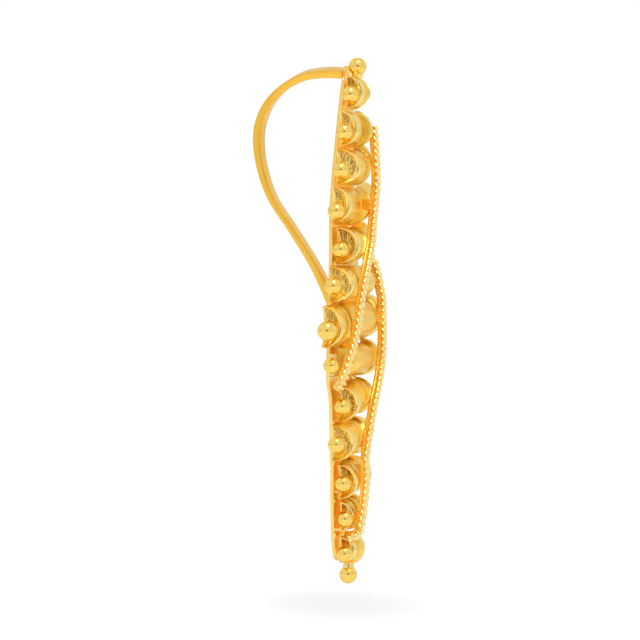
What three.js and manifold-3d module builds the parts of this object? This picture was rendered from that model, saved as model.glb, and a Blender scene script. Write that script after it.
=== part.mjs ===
// Gold pendant: a long S-shaped spray of domed petals on a thin back plate, edged by
// two twisted ropes, and hung by a ribbon bail that bows out behind it.
// Millimetres, +Z up, the decorated front faces -Y, +X is the wearer's left.
// The origin is on the underside of the bail's top, where a chain bears.
import * as THREE from 'three';
import { mergeVertices } from 'three/addons/utils/BufferGeometryUtils.js';
import Module from 'manifold-3d';

// Driving dimensions
const CENTRE_Z = -20.6; // the ornament's own centre, about which it repeats half a turn round
const BACK_Y = -1.0; // rear face of the back plate
const SEAT_GAP = 0.06; // clearance between pieces that touch
const PLATE_THICKNESS = 0.3;
const STAND_OFF = 0.68; // from the plate's rear face to the backs of the petals
const BALL_RADIUS = 0.72;
const BALL_SEAT = 0.54; // centre of a petal's ball above the petal's flat back
const BALL_SIDES = 12;
const BALL_RINGS = 7;
const MOUTH_SETBACK = 0.28; // the open end of a petal lies this far inside its ball's centre
const DISH_DEPTH = 0.2;
const LIP_REACH = 0.42; // the burnished lip slopes out and down from a petal's edge by these two
const LIP_DROP = 0.44;
const ROOT_LOBE = 0.95; // length of the swelling at a petal's root
const BACK_WALL = 0.12; // flat back of a petal, seen as a thin edge at its open end
const BAIL_WIDTH = 1.55;
const BAIL_STEPS = 40;
const ROPE_RADIUS = 0.3;
const ROPE_SIDES = 8;
const ROPE_STEPS = 35;
const WIRE_LIFT = 0.11; // the wire's centre in front of the rope's own centre line
const WIRE_SEAT = 0.04; // how deep the wire lies in the strip
const STRIP_WIDTH = 0.5; // flat strip that the twisted wire lies on
const STRIP_THICKNESS = 0.22;
const CHANNEL = 0.38; // petals end this far from the centre line of a rope
const BAR_WIDTH = 0.3;
const BAR_ROOT = 0.02; // how deep a bar or post is let into what carries it
const BAR_INSET = 0.12;
const FINIAL_RADIUS = 0.77;
const FINIAL_HEIGHT = 21.7; // centres of the end balls above and below the centre
const FINIAL_STAND = 1.1;
const NECK_RADIUS = 0.5;
const NECK_LOW = 20.98;
const FOOT = { low: 21.02, width: 0.56, height: 0.96 }; // block that joins the top ball to the plate

const gold = { color: 0xe8b950, metalness: 1.0 };
const polished = () => new THREE.MeshStandardMaterial({ ...gold, roughness: 0.2 });
const satin = () => new THREE.MeshStandardMaterial({ ...gold, roughness: 0.38 });

// Reads a table: each row becomes an object with the columns' names.
const table = (columns, rows) => {
  return rows.map((row) => Object.fromEntries(columns.map((name, i) => [name, row[i]])));
};

// A petal starts at its root beside a rope or the middle line and opens at its tip.
// root and tip: height of its middle there; half: half its height; top: its crown near the root;
// edge and edge_up: how far out and how high its crown ends, where the lip turns down; reach,
// ball_up and ball_z: place of its ball. Petals slope back as far as their balls are set low.
const PETAL = ['root', 'tip', 'half', 'top', 'edge', 'edge_up', 'reach', 'ball_up', 'ball_z'];
const BROAD_PETALS = table(PETAL, [
  [19.44, 19.52, 1.46, 2.24, 1.36, 2.15, 2.34, 1.15, 19.34],
  [16.25, 16.43, 1.56, 2.62, 2.3, 2.02, 3.35, 0.97, 16.14],
  [13.06, 13.2, 1.56, 2.46, 2.4, 2.33, 4.15, 0.95, 12.92],
  [9.75, 9.96, 1.62, 2.52, 3.9, 1.94, 5.32, 0.95, 9.46],
  [6.45, 6.49, 1.58, 2.5, 2.45, 2.4, 3.89, 1.0, 6.16],
  [3.22, 3.22, 1.58, 2.45, 4.25, 2.4, 5.89, 0.97, 3.1],
  [-0.25, -0.35, 1.82, 2.24, 6.0, 2.05, 7.44, 0.95, -0.65],
]);
const TAIL_PETALS = table(PETAL, [
  [-6.41, -7.05, 1.54, 2.58, 1.35, 2.3, 2.89, 1.1, -7.23],
  [-9.75, -10.35, 1.6, 2.42, 2.6, 2.3, 4.18, 1.0, -10.42],
  [-13.2, -13.72, 1.52, 2.26, 0.95, 2.2, 2.14, 1.1, -13.84],
  [-16.35, -16.72, 1.3, 1.88, 0.78, 1.86, 1.51, 1.15, -16.88],
  [-19.4, -19.6, 1.12, 2.26, 0.3, 1.98, 0.95, 1.02, -19.9],
]);
const UNDER_ROPE_ROOT = 0.56; // the third and fourth tail petals pass below the rope and end here
const BIG_BALL_RADIUS = 0.84; // on the widest petal, the last of the broad ones
const SCROLL_BALL = { radius: 0.69, out: 5.35, height: 0.78, z: -3.66 }; // beside the left rope's end
const SCROLL_TAB = { radius: 0.32, length: 1.9, out: 4.5, z: -3.6 }; // what that ball is soldered to

// The three long domes in the middle: z of the centre, half height, crown and the far end.
const CENTRE_DOMES = [
  { name: 'centre_dome_1', z: 3.3, half: 1.44, near: 'left', end: -2.95 },
  { name: 'centre_dome_2', z: 0, half: 1.74, near: 'both', end: 0 },
  { name: 'centre_dome_3', z: -3.3, half: 1.44, near: 'right', end: 2.95 },
];
const CENTRE_TOP = 2.46;

// Centre line of the left rope: z, distance out from the middle line (towards the wearer's
// right, -X) and height above the plate's rear face.
const ROPE_LINE = [
  { z: 16.6, out: -0.68, height: 2.38 },
  { z: 15.4, out: -0.62, height: 2.54 },
  { z: 13.2, out: -0.71, height: 2.7 },
  { z: 11.3, out: -0.85, height: 2.68 },
  { z: 8.5, out: 0.23, height: 2.76 },
  { z: 6.8, out: 0.98, height: 2.86 },
  { z: 5.1, out: 2.08, height: 2.87 },
  { z: 3.4, out: 3.0, height: 2.84 },
  { z: 1.7, out: 3.58, height: 2.74 },
  { z: 0, out: 3.95, height: 2.6 },
  { z: -1.7, out: 4.36, height: 2.42 },
  { z: -2.8, out: 4.5, height: 2.16 },
  { z: -3.9, out: 4.56, height: 1.86 },
  { z: -4.9, out: 4.48, height: 1.45 },
  { z: -5.55, out: 4.1, height: 0.95 },
];
// The right rope is the left one turned half round, but its low end runs on and curls round the
// fourth tail petal.
const ROPE_CURL = [
  { z: 18.5, out: -1.35, height: 1.3 },
  { z: 18.2, out: -0.98, height: 1.95 },
  { z: 17.75, out: -0.8, height: 2.2 },
];
const POST = { z: -0.3, width: 0.44, height: 0.8 }; // carries the left rope off the plate
const STRUT_PETAL = BROAD_PETALS[3];
const STRUT = { z: 10.02, width: 0.84, out: 1.0, low: 1.96, top: 2.68 }; // block let into that petal
const NOTCH_ROOM = 2; // the cut for the block runs out past the petal's root and crown
const TAB_HEIGHTS = [3.9, -0.17]; // small tabs from the strip to the long domes
const TAB = { reach: 0.62, thickness: 0.2, width: 0.5 };
const SOLDER_DEPTH = 0.05; // how far a post or tab goes into the strip

// Left edge of the back plate, from its top down to its lower end.
const PLATE_EDGE = [
  { z: 20.6, out: 0.75 },
  { z: 20.2, out: 1.2 },
  { z: 18.1, out: 1.95 },
  { z: 16.1, out: 2.6 },
  { z: 13.0, out: 3.5 },
  { z: 9.6, out: 4.15 },
  { z: 5.1, out: 4.0 },
  { z: 0, out: 4.1 },
  { z: -5.2, out: 4.15 },
  { z: -6.4, out: 3.35 },
  { z: -9.0, out: 2.9 },
  { z: -12.3, out: 2.42 },
  { z: -15.4, out: 2.2 },
  { z: -18.4, out: 1.75 },
  { z: -19.7, out: 1.25 },
  { z: -20.1, out: 1.0 },
  { z: -20.35, out: 0.6 },
  { z: -20.5, out: 0.2 },
];

const TOP_TAB = { z: 20.4, height: 1.35, width: 0.64 }; // the plate runs up in front of the bail's end

// Centre line of the bail in the pendant's middle plane: distance behind the plate, height
// above the origin, thickness, and how far the ribbon is twisted about its own run.
const BAIL_LINE = [
  { back: 0.08, z: 0.52, thick: 0.64, twist: 15 },
  { back: 1.6, z: 0.56, thick: 0.64, twist: 15 },
  { back: 3.5, z: 0.26, thick: 0.64, twist: 13 },
  { back: 5.2, z: -0.64, thick: 0.66, twist: 9 },
  { back: 6.52, z: -1.95, thick: 0.68, twist: 5 },
  { back: 7.3, z: -3.5, thick: 0.68, twist: 1 },
  { back: 7.56, z: -5.2, thick: 0.68, twist: 0 },
  { back: 7.25, z: -7.5, thick: 0.64, twist: 0 },
  { back: 6.26, z: -10.2, thick: 0.58, twist: 0 },
  { back: 4.36, z: -12.92, thick: 0.56, twist: 0 },
  { back: 2.52, z: -15.65, thick: 0.6, twist: 0 },
  { back: 1.3, z: -17.9, thick: 0.68, twist: 0 },
  { back: 0.62, z: -19.6, thick: 0.64, twist: 0 },
  { back: 0.36, z: -21.4, thick: 0.5, twist: 0 },
];

const wasm = await Module();
wasm.setup();

function solid(geometry) {
  const bare = geometry.clone();
  bare.deleteAttribute('normal');
  bare.deleteAttribute('uv');
  const welded = mergeVertices(bare, 1e-4);
  const mesh = new wasm.Mesh({
    numProp: 3,
    vertProperties: new Float32Array(welded.attributes.position.array),
    triVerts: new Uint32Array(welded.index.array),
  });
  return new wasm.Manifold(mesh);
}

// One closed body from several, less a notch where one is given.
function fuse(geometries, notch = null) {
  let whole = solid(geometries[0]);
  for (const geometry of geometries.slice(1)) {
    whole = whole.add(solid(geometry));
  }
  if (notch) {
    whole = whole.subtract(solid(notch));
  }
  const mesh = whole.getMesh();
  const fused = new THREE.BufferGeometry();
  fused.setAttribute('position', new THREE.BufferAttribute(mesh.vertProperties, 3));
  fused.setIndex(new THREE.BufferAttribute(mesh.triVerts, 1));
  fused.computeVertexNormals();
  return fused;
}

// Places a point given as (out towards -X, height above the plate's rear face, z from the centre).
function place(out, height, z) {
  return new THREE.Vector3(-out, BACK_Y - height, CENTRE_Z + z);
}

// Closed body through rings of equal count; each end is closed by a fan to its own middle point.
function loft(rings, startMiddle, endMiddle) {
  const count = rings[0].length;
  const points = [startMiddle, ...rings.flat(), endMiddle];
  const last = points.length - 1;
  const triangles = [];
  for (let i = 0; i < count; i += 1) {
    const j = (i + 1) % count;
    triangles.push(0, 1 + i, 1 + j);
    for (let ring = 0; ring < rings.length - 1; ring += 1) {
      const a = 1 + ring * count;
      const b = a + count;
      triangles.push(a + i, b + j, a + j, a + i, b + i, b + j);
    }
    const end = 1 + (rings.length - 1) * count;
    triangles.push(last, end + j, end + i);
  }
  const body = new THREE.BufferGeometry().setFromPoints(points);
  body.setIndex(triangles);
  body.computeVertexNormals();
  return body;
}

function ball(radius, centre) {
  const sphere = new THREE.SphereGeometry(radius, BALL_SIDES, BALL_RINGS);
  sphere.rotateX(Math.PI / 2);
  return sphere.translate(centre.x, centre.y, centre.z);
}

function box(sizeX, sizeY, sizeZ, centre) {
  return new THREE.BoxGeometry(sizeX, sizeY, sizeZ).translate(centre.x, centre.y, centre.z);
}

function ropeCurve(rows) {
  const points = rows.map((row) => new THREE.Vector3(row.out, row.height, row.z));
  return new THREE.CatmullRomCurve3(points, false, 'centripetal');
}

const ropeSamples = ropeCurve(ROPE_LINE).getPoints(200);
const ropeAt = (z) => ropeSamples.find((sample) => sample.z <= z) ?? ropeSamples[ropeSamples.length - 1];

// How far out the left rope runs at a height; past its ends it keeps its last value.
function ropeOut(z) {
  if (z >= ropeSamples[0].z) {
    return ropeSamples[0].x;
  }
  for (let i = 1; i < ropeSamples.length; i += 1) {
    const above = ropeSamples[i - 1];
    const below = ropeSamples[i];
    if (z >= below.z) {
      return THREE.MathUtils.mapLinear(z, above.z, below.z, above.x, below.x);
    }
  }
  return ropeSamples[ropeSamples.length - 1].x;
}

// The right rope is the left one turned half round, so its line is read at the turned height.
const rightRopeOut = (z) => -ropeOut(-z);

// One section of a petal or dome: an arch of nine points over a flat back at height back.
const ARCH_POINTS = 9;
function arch(half, rise, middleZ, back, outAt) {
  const ring = [];
  for (let i = 0; i < ARCH_POINTS; i += 1) {
    const angle = (Math.PI * i) / (ARCH_POINTS - 1);
    const across = half * Math.cos(angle);
    const up = rise * Math.sin(angle);
    ring.push(place(outAt(across, up), back + up, middleZ + across));
  }
  return ring;
}

// Sections along a petal's two swellings, the short one at its root and the cup beyond it: share
// of the swelling's length, and shares of the half height and of the crown.
const ROOT_SECTIONS = [
  { along: 0.0, width: 0.8, crown: 0.78 },
  { along: 0.2, width: 0.95, crown: 0.95 },
  { along: 0.6, width: 1.0, crown: 1.0 },
  { along: 0.92, width: 0.99, crown: 0.98 },
];
const CUP_SECTIONS = [
  { along: 0.0, width: 0.96, crown: 0.92 },
  { along: 0.12, width: 1.0, crown: 1.0 },
  { along: 0.6, width: 1.0, crown: 1.02 },
  { along: 1.0, width: 0.97, crown: 1.0 },
];

// Height of a petal's flat back at a share of its length.
function petalBack(row, share) {
  return THREE.MathUtils.lerp(STAND_OFF, row.ball_up - BALL_SEAT, share);
}

// The slot at a petal's root that the rope's block is let into, open towards the rope and the front.
function strutNotch() {
  const slotOut = STRUT.out + SEAT_GAP;
  const low = STRUT.low - SEAT_GAP;
  const middle = place(slotOut - NOTCH_ROOM / 2, low + NOTCH_ROOM / 2, STRUT.z);
  return box(NOTCH_ROOM, NOTCH_ROOM, STRUT.width + 2 * SEAT_GAP, middle);
}

function petalGeometry(row, rootOut, ballRadius) {
  const mouth = row.reach - MOUTH_SETBACK;
  const rootLevel = rootOut(row.root);
  const seam = Math.min(ROOT_LOBE / (mouth - rootLevel), 0.4);
  const section = (share, half, crown) => {
    const z = THREE.MathUtils.lerp(row.root, row.tip, share);
    const rise = crown - petalBack(row, share);
    return arch(half, rise, z, petalBack(row, share), (across, up) => {
      const end = mouth - (mouth - row.edge) * (up / rise) ** 1.5;
      return THREE.MathUtils.lerp(rootOut(row.root + across), end, share);
    });
  };
  const sections = [
    ...ROOT_SECTIONS.map(({ along, width, crown }) => {
      return section(seam * along, row.half * width, STAND_OFF + (row.top - STAND_OFF) * crown);
    }),
    ...CUP_SECTIONS.map(({ along, width, crown }) => {
      return section(THREE.MathUtils.lerp(seam, 1, along), row.half * width, row.edge_up * crown);
    }),
  ];
  const back = petalBack(row, 1);
  const rimRise = row.edge_up - LIP_DROP - back - BACK_WALL;
  const rim = arch(row.half * 0.87, rimRise, row.tip, back + BACK_WALL, (across, up) => {
    return mouth - (mouth - row.edge - LIP_REACH) * (up / rimRise);
  });
  const dishRise = rimRise * 0.6;
  const dish = arch(row.half * 0.6, dishRise, row.tip, back + 2 * BACK_WALL, (across, up) => {
    return mouth - DISH_DEPTH - (mouth - row.edge - LIP_REACH) * (up / dishRise);
  });
  const rootMiddle = place(rootLevel, STAND_OFF + (row.top - STAND_OFF) * 0.2, row.root);
  const dishMiddle = place(row.reach - ballRadius * 0.7, back + 0.4, row.ball_z);
  const body = loft([...sections, rim, dish], rootMiddle, dishMiddle);
  const notch = row === STRUT_PETAL ? strutNotch() : null;
  return fuse([body, ball(ballRadius, place(row.reach, row.ball_up, row.ball_z))], notch);
}

function domeGeometry(dome) {
  const rise = CENTRE_TOP - STAND_OFF;
  const leftEnd = dome.near === 'right' ? () => dome.end : (z) => ropeOut(z) - CHANNEL;
  const rightEnd = dome.near === 'left' ? () => dome.end : (z) => rightRopeOut(z) + CHANNEL;
  const shares = [0, 0.06, 0.18, 0.5, 0.82, 0.94, 1];
  const widths = [0.75, 0.93, 1, 1, 1, 0.93, 0.75];
  const rings = shares.map((share, i) => {
    return arch(dome.half * widths[i], rise * widths[i], dome.z, STAND_OFF, (across) => {
      const z = dome.z + across;
      return THREE.MathUtils.lerp(rightEnd(z), leftEnd(z), share);
    });
  });
  const low = place(rightEnd(dome.z), STAND_OFF + rise * 0.2, dome.z);
  const high = place(leftEnd(dome.z), STAND_OFF + rise * 0.2, dome.z);
  return fuse([loft(rings, low, high)]);
}

// A section swept along a rope's line, its upright kept towards the pendant's front.
function sweep(section, curve) {
  const rings = [];
  const middles = [];
  for (let i = 0; i <= ROPE_STEPS; i += 1) {
    const at = curve.getPointAt(i / ROPE_STEPS);
    const tangent = curve.getTangentAt(i / ROPE_STEPS);
    const side = new THREE.Vector3().crossVectors(tangent, new THREE.Vector3(0, 1, 0)).normalize();
    const front = new THREE.Vector3().crossVectors(side, tangent);
    rings.push(section.map(([across, up]) => {
      const point = at.clone().addScaledVector(side, across).addScaledVector(front, up);
      return place(point.x, point.y, point.z);
    }));
    middles.push(rings[i].reduce((sum, p) => sum.add(p), new THREE.Vector3()).divideScalar(section.length));
  }
  return loft(rings, middles[0], middles[ROPE_STEPS]);
}

function ropeGeometry(rows) {
  const curve = ropeCurve(rows);
  const wire = [];
  for (let i = 0; i < ROPE_SIDES; i += 1) {
    const angle = (2 * Math.PI * i) / ROPE_SIDES;
    wire.push([ROPE_RADIUS * Math.cos(angle), WIRE_LIFT + ROPE_RADIUS * Math.sin(angle)]);
  }
  const stripTop = WIRE_LIFT - ROPE_RADIUS + WIRE_SEAT;
  const stripBottom = stripTop - STRIP_THICKNESS;
  const halfStrip = STRIP_WIDTH / 2;
  const strip = [
    [halfStrip, stripBottom],
    [halfStrip, stripTop],
    [-halfStrip, stripTop],
    [-halfStrip, stripBottom],
  ];
  const pieces = [sweep(wire, curve), sweep(strip, curve)];
  const post = ropeAt(POST.z);
  const foot = PLATE_THICKNESS + SEAT_GAP;
  const head = post.y + stripTop - SOLDER_DEPTH;
  pieces.push(box(POST.width, head - foot, POST.height, place(post.x, (head + foot) / 2, POST.z)));
  const start = ropeAt(STRUT.z).x;
  const strutMiddle = place((start + STRUT.out) / 2, (STRUT.low + STRUT.top) / 2, STRUT.z);
  pieces.push(box(STRUT.out - start, STRUT.top - STRUT.low, STRUT.width, strutMiddle));
  for (const z of TAB_HEIGHTS) {
    const at = ropeAt(z);
    const tabMiddle = place(at.x - TAB.reach / 2, (at.y + stripTop) - STRIP_THICKNESS / 2, z);
    pieces.push(box(TAB.reach, TAB.thickness, TAB.width, tabMiddle));
  }
  return fuse(pieces);
}

// Turns a geometry half round about the pendant's front-to-back axis through its centre.
function halfTurn(geometry) {
  const turned = geometry.clone();
  turned.translate(0, 0, -CENTRE_Z);
  turned.rotateY(Math.PI);
  return turned.translate(0, 0, CENTRE_Z);
}

function plateOut(z) {
  const below = PLATE_EDGE.findIndex((row) => row.z <= z);
  const a = PLATE_EDGE[below - 1];
  const b = PLATE_EDGE[below];
  return THREE.MathUtils.mapLinear(z, a.z, b.z, a.out, b.out);
}

// Left ends of the low bars across the plate: one under each joint between two petals, just
// inside the plate's edge, its top just clear of the lower of their two backs.
function barEnds() {
  const rows = [...BROAD_PETALS, ...TAIL_PETALS];
  const ends = [];
  for (let i = 0; i < rows.length - 1; i += 1) {
    if (i !== BROAD_PETALS.length - 1) {
      const above = rows[i];
      const below = rows[i + 1];
      const z = (above.tip - above.half + below.tip + below.half) / 2;
      const out = plateOut(z) - BAR_INSET;
      const backs = [above, below].map((row) => {
        return petalBack(row, Math.min(out / (row.reach - MOUTH_SETBACK), 1));
      });
      ends.push({ z, out, top: Math.min(...backs) - SEAT_GAP });
    }
  }
  return ends;
}

function plateGeometry() {
  const leftEdge = new THREE.CatmullRomCurve3(
    PLATE_EDGE.map((row) => new THREE.Vector3(-row.out, row.z, 0)),
    false,
    'centripetal',
  ).getPoints(40);
  const rightEdge = leftEdge.map((point) => new THREE.Vector3(-point.x, -point.y, 0));
  const corners = [...leftEdge, ...rightEdge].map((point) => new THREE.Vector2(point.x, point.y));
  const outline = new THREE.Shape(corners);
  const plate = new THREE.ExtrudeGeometry(outline, { depth: PLATE_THICKNESS, bevelEnabled: false });
  plate.rotateX(Math.PI / 2);
  plate.translate(0, BACK_Y, CENTRE_Z);
  const tabMiddle = place(0, PLATE_THICKNESS / 2, TOP_TAB.z + TOP_TAB.height / 2);
  const tab = box(TOP_TAB.width, PLATE_THICKNESS, TOP_TAB.height, tabMiddle);
  const pieces = [plate, tab];
  const lefts = barEnds();
  const rights = [...lefts].reverse(); // the right ends are the left ones turned half round
  lefts.forEach((end, i) => {
    const left = place(end.out, 0, end.z);
    const right = place(-rights[i].out, 0, -rights[i].z);
    const along = new THREE.Vector3().subVectors(right, left);
    const low = PLATE_THICKNESS - BAR_ROOT;
    const height = Math.min(end.top, rights[i].top) - low;
    const bar = new THREE.BoxGeometry(along.length(), height, BAR_WIDTH);
    bar.rotateY(-Math.atan2(along.z, along.x));
    const middle = left.add(right).multiplyScalar(0.5);
    pieces.push(bar.translate(middle.x, BACK_Y - low - height / 2, middle.z));
  });
  return fuse(pieces);
}

function bailGeometry() {
  const line = new THREE.CatmullRomCurve3(
    BAIL_LINE.map((row) => new THREE.Vector3(0, BACK_Y + row.back, row.z)),
    false,
    'centripetal',
  );
  const rings = [];
  const middles = [];
  for (let i = 0; i <= BAIL_STEPS; i += 1) {
    const share = (i / BAIL_STEPS) * (BAIL_LINE.length - 1);
    const before = BAIL_LINE[Math.floor(share)];
    const after = BAIL_LINE[Math.ceil(share)];
    const thick = THREE.MathUtils.lerp(before.thick, after.thick, share % 1);
    const twist = THREE.MathUtils.degToRad(THREE.MathUtils.lerp(before.twist, after.twist, share % 1));
    const at = line.getPoint(i / BAIL_STEPS);
    const along = line.getTangent(i / BAIL_STEPS);
    const across = new THREE.Vector3(1, 0, 0).applyAxisAngle(along, -twist);
    const outward = new THREE.Vector3().crossVectors(across, along);
    const corners = [[1, 1], [-1, 1], [-1, -1], [1, -1]].map(([side, face]) => {
      const corner = at.clone().addScaledVector(across, side * BAIL_WIDTH / 2);
      corner.addScaledVector(outward, face * thick / 2);
      corner.y = Math.max(corner.y, BACK_Y + SEAT_GAP);
      return corner;
    });
    rings.push(corners);
    middles.push(corners.reduce((sum, p) => sum.add(p), new THREE.Vector3()).divideScalar(4));
  }
  return fuse([loft(rings, middles[0], middles[BAIL_STEPS])]);
}

// End ball on a short neck; the top one also has a foot that stands on the plate's tab.
function finialGeometry(withFoot) {
  const centre = place(0, FINIAL_STAND, FINIAL_HEIGHT);
  const neckLength = FINIAL_HEIGHT - NECK_LOW;
  const neck = new THREE.CylinderGeometry(NECK_RADIUS, NECK_RADIUS * 0.84, neckLength, BALL_SIDES);
  neck.rotateX(Math.PI / 2);
  const neckMiddle = place(0, FINIAL_STAND, NECK_LOW + neckLength / 2);
  neck.translate(neckMiddle.x, neckMiddle.y, neckMiddle.z);
  const pieces = [ball(FINIAL_RADIUS, centre), neck];
  if (withFoot) {
    const sole = PLATE_THICKNESS + SEAT_GAP;
    const footMiddle = place(0, (FINIAL_STAND + sole) / 2, FOOT.low + FOOT.height / 2);
    pieces.push(box(FOOT.width, FINIAL_STAND - sole, FOOT.height, footMiddle));
  }
  return fuse(pieces);
}

// Loose ball beside the rope's end, on a curled tab that stands on the plate's edge.
function scrollBallGeometry() {
  const { radius, length, out, z } = SCROLL_TAB;
  const tab = new THREE.CylinderGeometry(radius, radius, length, BALL_SIDES);
  tab.rotateX(Math.PI / 2);
  const at = place(out, PLATE_THICKNESS + SEAT_GAP + radius, z);
  tab.translate(at.x, at.y, at.z);
  const centre = place(SCROLL_BALL.out, SCROLL_BALL.height, SCROLL_BALL.z);
  return fuse([ball(SCROLL_BALL.radius, centre), tab]);
}

const pendant = new THREE.Group();

function add(name, geometry, material) {
  const mesh = new THREE.Mesh(geometry, material);
  mesh.name = name;
  pendant.add(mesh);
}

function addPair(leftName, rightName, geometry, material) {
  add(leftName, geometry, material);
  add(rightName, halfTurn(geometry), material);
}

add('back_plate', plateGeometry(), polished());
add('bail', bailGeometry(), polished());

// Broad petals hang on the outer side of the left rope; the topmost one starts at the middle line.
BROAD_PETALS.forEach((row, i) => {
  const rootOut = i === 0 ? () => SEAT_GAP / 2 : (z) => ropeOut(z) + CHANNEL;
  const radius = i === BROAD_PETALS.length - 1 ? BIG_BALL_RADIUS : BALL_RADIUS;
  addPair(`left_petal_${i + 1}`, `right_petal_${i + 1}`, petalGeometry(row, rootOut, radius), satin());
});

// Tail petals hang on the inner side of the right rope.
TAIL_PETALS.forEach((row, i) => {
  const last = i === TAIL_PETALS.length - 1;
  const underRope = i === 2 || i === 3;
  const beside = underRope ? () => UNDER_ROPE_ROOT : (z) => rightRopeOut(z) + CHANNEL;
  const rootOut = last ? () => SEAT_GAP / 2 : beside;
  const petal = petalGeometry(row, rootOut, BALL_RADIUS);
  addPair(`left_tail_petal_${i + 1}`, `right_tail_petal_${i + 1}`, petal, satin());
});

CENTRE_DOMES.forEach((dome) => add(dome.name, domeGeometry(dome), satin()));

add('left_rope', ropeGeometry(ROPE_LINE), polished());
add('right_rope', halfTurn(ropeGeometry([...ROPE_CURL, ...ROPE_LINE])), polished());
add('top_finial', finialGeometry(true), polished());
add('bottom_finial', halfTurn(finialGeometry(false)), polished());
addPair('left_scroll_ball', 'right_scroll_ball', scrollBallGeometry(), polished());

export default pendant;
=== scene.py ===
"""A handmade gold pendant hung by its ribbon bail: domed petals, balls and twisted ropes on a back plate."""
import math

import bmesh
import bpy
from mathutils import Matrix, Vector


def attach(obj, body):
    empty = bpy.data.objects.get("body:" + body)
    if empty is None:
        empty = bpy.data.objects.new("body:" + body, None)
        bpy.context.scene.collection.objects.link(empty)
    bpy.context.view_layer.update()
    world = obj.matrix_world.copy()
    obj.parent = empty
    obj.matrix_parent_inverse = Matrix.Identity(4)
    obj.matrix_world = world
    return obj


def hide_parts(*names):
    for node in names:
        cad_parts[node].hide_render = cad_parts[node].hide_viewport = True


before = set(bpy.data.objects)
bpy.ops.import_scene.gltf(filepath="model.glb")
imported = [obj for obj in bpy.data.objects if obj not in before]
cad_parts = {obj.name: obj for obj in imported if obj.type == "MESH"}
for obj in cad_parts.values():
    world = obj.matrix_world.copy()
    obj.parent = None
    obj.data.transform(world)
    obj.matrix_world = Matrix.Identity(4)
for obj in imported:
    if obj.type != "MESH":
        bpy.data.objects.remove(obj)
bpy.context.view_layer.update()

# ---------------------------------------------------------------------------------------------
# Back plate: one leaf-shaped sheet of gold about 0.3 mm thick, sawn out and left polished, with
# low bars soldered across it that the petals are seated on. It keeps the shape it was cut to, so
# only its finish is added here, and this section also holds the goldsmith's metal used all over.

MM = 0.001
CENTRE_Z = -20.6  # the ornament repeats half a turn round this height
BACK_Y = -1.0  # rear face of the plate
BLACK = (0, 0, 0, 1)
PALE_GOLD = (1.0, 0.73, 0.23)
FULL_GOLD = (1.0, 0.66, 0.15)
# The orange and the glow in recesses are painted shade, reflection and light, not the metal's own colour.
PAINTED_RECESS_GOLD = (1.0, 0.63, 0.09, 1)
EDGE_TINT = (1.0, 0.96, 0.85, 1)  # gold stays yellow where it is seen at a grazing angle
RECESS_LIGHT = 0.2  # painted glow, standing in for the light that gold faces close together pass between them
RECESS_LIGHT_COLOUR = (1.0, 0.62, 0.09, 1)
OPENNESS = (0.5, 0.15)  # from where the painted recess shade begins to where it is strongest
LINE_TONES = (0.36, 0.6)  # from the bottom of a tool line to the bare metal
PATCH_TONES = (0.3, 0.7)  # from the smoothest patches to the roughest


def place(out, height, z):
    """A point given as distance out to the left, height above the plate's rear and z from the centre."""
    return Vector((-out, BACK_Y - height, CENTRE_Z + z))


def new_group(name, inputs, outputs):
    """An empty node group with its sockets, and what its nodes read from and write to."""
    group = bpy.data.node_groups.new(name, "ShaderNodeTree")
    for label, kind in inputs:
        group.interface.new_socket(name=label, in_out="INPUT", socket_type=kind)
    for label, kind in outputs:
        group.interface.new_socket(name=label, in_out="OUTPUT", socket_type=kind)
    entry = group.nodes.new("NodeGroupInput")
    leave = group.nodes.new("NodeGroupOutput")
    return group, entry.outputs, leave.inputs


def make_node(tree, kind, links=None, **settings):
    """Adds a node, sets its properties, and links or sets its inputs by name or number."""
    made = tree.nodes.new(kind)
    for key, value in settings.items():
        setattr(made, key, value)
    for key, value in (links or {}).items():
        if isinstance(value, bpy.types.NodeSocket):
            tree.links.new(value, made.inputs[key])
        else:
            made.inputs[key].default_value = value
    return made


def mixed(tree, factor, first, second):
    """A colour between two others. A Mix node's colours are its inputs 6 and 7 and its output 2."""
    mix = make_node(tree, "ShaderNodeMix", {"Factor": factor, 6: first, 7: second}, data_type="RGBA")
    return mix.outputs[2]


def mapped(tree, value, source, target, **settings):
    """A value whose source range, given as (low, high), is stretched to the target range."""
    return make_node(tree, "ShaderNodeMapRange", {
        "Value": value,
        "From Min": source[0], "From Max": source[1],
        "To Min": target[0], "To Max": target[1],
    }, **settings).outputs[0]


def worked(tree, operation, first, second, kind="ShaderNodeMath"):
    """The outcome of a sum on two numbers, or on two vectors with the vector kind of node."""
    return make_node(tree, kind, {0: first, 1: second}, operation=operation).outputs[0]


def noise(tree, vector, scale, detail):
    return make_node(tree, "ShaderNodeTexNoise", {
        "Vector": vector, "Scale": scale, "Detail": detail,
    }).outputs[0]


def painted_recess_group():
    """Where gold faces gold close by, its colour is painted a deeper orange as shade and reflection, and the
    depth is given out for a painted glow.
    """
    group, given, result = new_group(
        "recess_glow",
        [
            ("Open colour", "NodeSocketColor"),
            ("Painted recess colour", "NodeSocketColor"),
            ("Reach", "NodeSocketFloat"),
        ],
        [("Colour", "NodeSocketColor"), ("Depth", "NodeSocketFloat")],
    )
    occlusion = make_node(group, "ShaderNodeAmbientOcclusion", {"Distance": given["Reach"]}, samples=8)
    deep = mapped(group, occlusion.outputs["AO"], OPENNESS, (0.0, 1.0))
    warm = mixed(group, deep, given["Open colour"], given["Painted recess colour"])
    group.links.new(warm, result["Colour"])
    group.links.new(deep, result["Depth"])
    return group


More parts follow.
